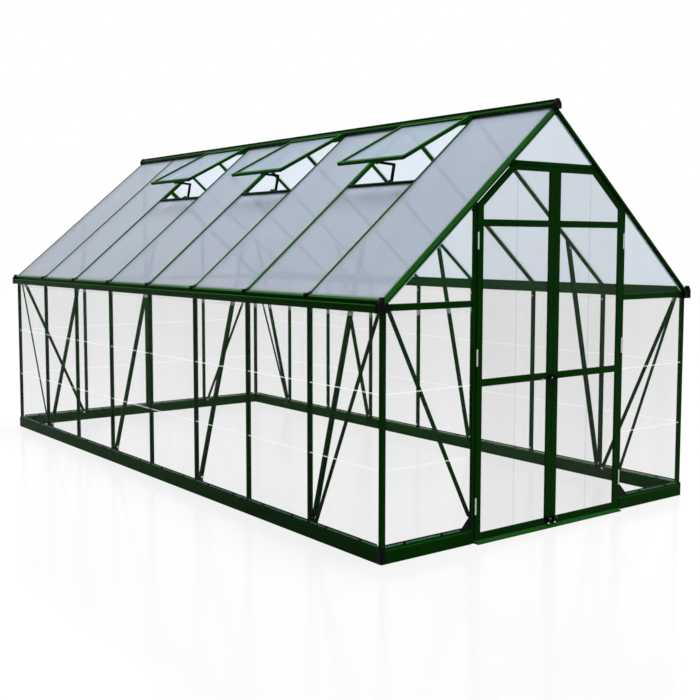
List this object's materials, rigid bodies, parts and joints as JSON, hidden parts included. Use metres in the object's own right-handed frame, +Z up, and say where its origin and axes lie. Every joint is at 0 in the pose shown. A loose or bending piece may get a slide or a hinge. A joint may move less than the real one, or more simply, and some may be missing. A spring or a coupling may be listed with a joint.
{
  "type": "polycarbonate greenhouse",
  "caption": "Free-standing gabled greenhouse with a green aluminium frame, clear walls, twin-wall roof panels, hinged double doors and tilting roof vents.",
  "frame": {"origin": "on the ground at the middle of the floor plan", "axes": "+Z up, the doors face -Y, the length runs along Y, the vents are on the -X slope"},
  "size_m": [2.452, 4.908, 2.3145],
  "materials": {
    "green_frame": "dark green powder coat, satin",
    "green_base": "dark green powder-coated sheet steel",
    "black_plastic": "moulded black plastic",
    "clear_polycarbonate": "clear sheet",
    "twin_wall_polycarbonate": "translucent twin-wall sheet",
    "white_strip": "milky strip",
    "bright_steel": "zinc plated"
  },
  "bodies": {
    "frame": {"side_base_rails": "green_base", "end_base_rails": "green_base", "base_corner_joiners": "black_plastic", "door_threshold": "green_frame", "left_wall_posts": "green_frame", "right_wall_posts": "green_frame", "back_wall_posts": "green_frame", "corner_posts": "green_frame", "left_eave_beam": "green_frame", "right_eave_beam": "green_frame", "left_gutter": "green_frame", "right_gutter": "green_frame", "gutter_end_caps": "black_plastic", "gable_beams": "green_frame", "left_roof_bars": "green_frame", "right_roof_bars": "green_frame", "bar_clips": "black_plastic", "gable_rafters": "green_frame", "ridge_beam": "green_frame", "ridge_end_caps": "black_plastic", "left_roof_panels": "twin_wall_polycarbonate", "right_roof_panels": "twin_wall_polycarbonate", "left_wall_panes": "clear_polycarbonate", "right_wall_panes": "clear_polycarbonate", "end_wall_panes": "clear_polycarbonate", "gable_panes": "clear_polycarbonate", "pane_top_strips": "white_strip", "pane_clips": "black_plastic", "knee_struts": "green_frame", "strut_brackets": "green_frame", "wall_braces": "green_frame", "door_jambs": "green_frame", "door_header": "green_frame", "jamb_gussets": "black_plastic", "jamb_hinges": "bright_steel", "vent_sills": "green_frame", "stay_pegs": "black_plastic"},
    "left_door": {"left_door_frame": "green_frame", "left_door_panes": "clear_polycarbonate", "left_door_hinges": "bright_steel", "left_bolt_guides": "black_plastic", "latch_rose": "black_plastic"},
    "right_door": {"right_door_frame": "green_frame", "right_door_panes": "clear_polycarbonate", "right_door_hinges": "bright_steel", "right_bolt_guides": "black_plastic", "door_pull": "black_plastic"},
    "latch": {"latch_handle": "black_plastic"},
    "left_bolt": {"left_drop_bolt": "bright_steel"},
    "right_bolt": {"right_drop_bolt": "bright_steel"},
    "vent_1": {"vent_1_frame": "green_frame", "vent_1_panel": "twin_wall_polycarbonate"},
    "stay_1": {"vent_1_stay": "black_plastic"},
    "vent_2": {"vent_2_frame": "green_frame", "vent_2_panel": "twin_wall_polycarbonate"},
    "stay_2": {"vent_2_stay": "black_plastic"},
    "vent_3": {"vent_3_frame": "green_frame", "vent_3_panel": "twin_wall_polycarbonate"},
    "stay_3": {"vent_3_stay": "black_plastic"}
  },
  "joints": [
    {"name": "left_door_swing", "type": "hinge", "parent": "frame", "child": "left_door", "pos_m": [-0.5753, -2.4391, 0.9], "axis": [0, 0, -1], "range_deg": [0, 110]},
    {"name": "right_door_swing", "type": "hinge", "parent": "frame", "child": "right_door", "pos_m": [0.5753, -2.4391, 0.9], "axis": [0, 0, 1], "range_deg": [0, 110]},
    {"name": "latch_turn", "type": "hinge", "parent": "left_door", "child": "latch", "pos_m": [-0.022, -2.434, 0.824], "axis": [0, 1, 0], "range_deg": [0, 90]},
    {"name": "left_bolt_slide", "type": "slide", "parent": "left_door", "child": "left_bolt", "axis": [0, 0, -1], "range_m": [0, 0.011]},
    {"name": "right_bolt_slide", "type": "slide", "parent": "right_door", "child": "right_bolt", "axis": [0, 0, -1], "range_m": [0, 0.011]},
    {"name": "vent_1_tilt", "type": "hinge", "parent": "frame", "child": "vent_1", "pos_m": [-0.02075, -1.515, 2.27726], "axis": [0, 1, 0], "range_deg": [-13.3, 0]},
    {"name": "stay_1_swing", "type": "hinge", "parent": "vent_1", "child": "stay_1", "pos_m": [-0.50634, -1.545, 2.01101], "axis": [0, -1, 0], "range_deg": [0, 18]},
    {"name": "vent_2_tilt", "type": "hinge", "parent": "frame", "child": "vent_2", "pos_m": [-0.02075, -0.303, 2.27726], "axis": [0, 1, 0], "range_deg": [-13.3, 0]},
    {"name": "stay_2_swing", "type": "hinge", "parent": "vent_2", "child": "stay_2", "pos_m": [-0.50634, -0.333, 2.01101], "axis": [0, -1, 0], "range_deg": [0, 18]},
    {"name": "vent_3_tilt", "type": "hinge", "parent": "frame", "child": "vent_3", "pos_m": [-0.02075, 0.909, 2.27726], "axis": [0, 1, 0], "range_deg": [-13.3, 0]},
    {"name": "stay_3_swing", "type": "hinge", "parent": "vent_3", "child": "stay_3", "pos_m": [-0.50634, 0.879, 2.01101], "axis": [0, -1, 0], "range_deg": [0, 18]}
  ]
}
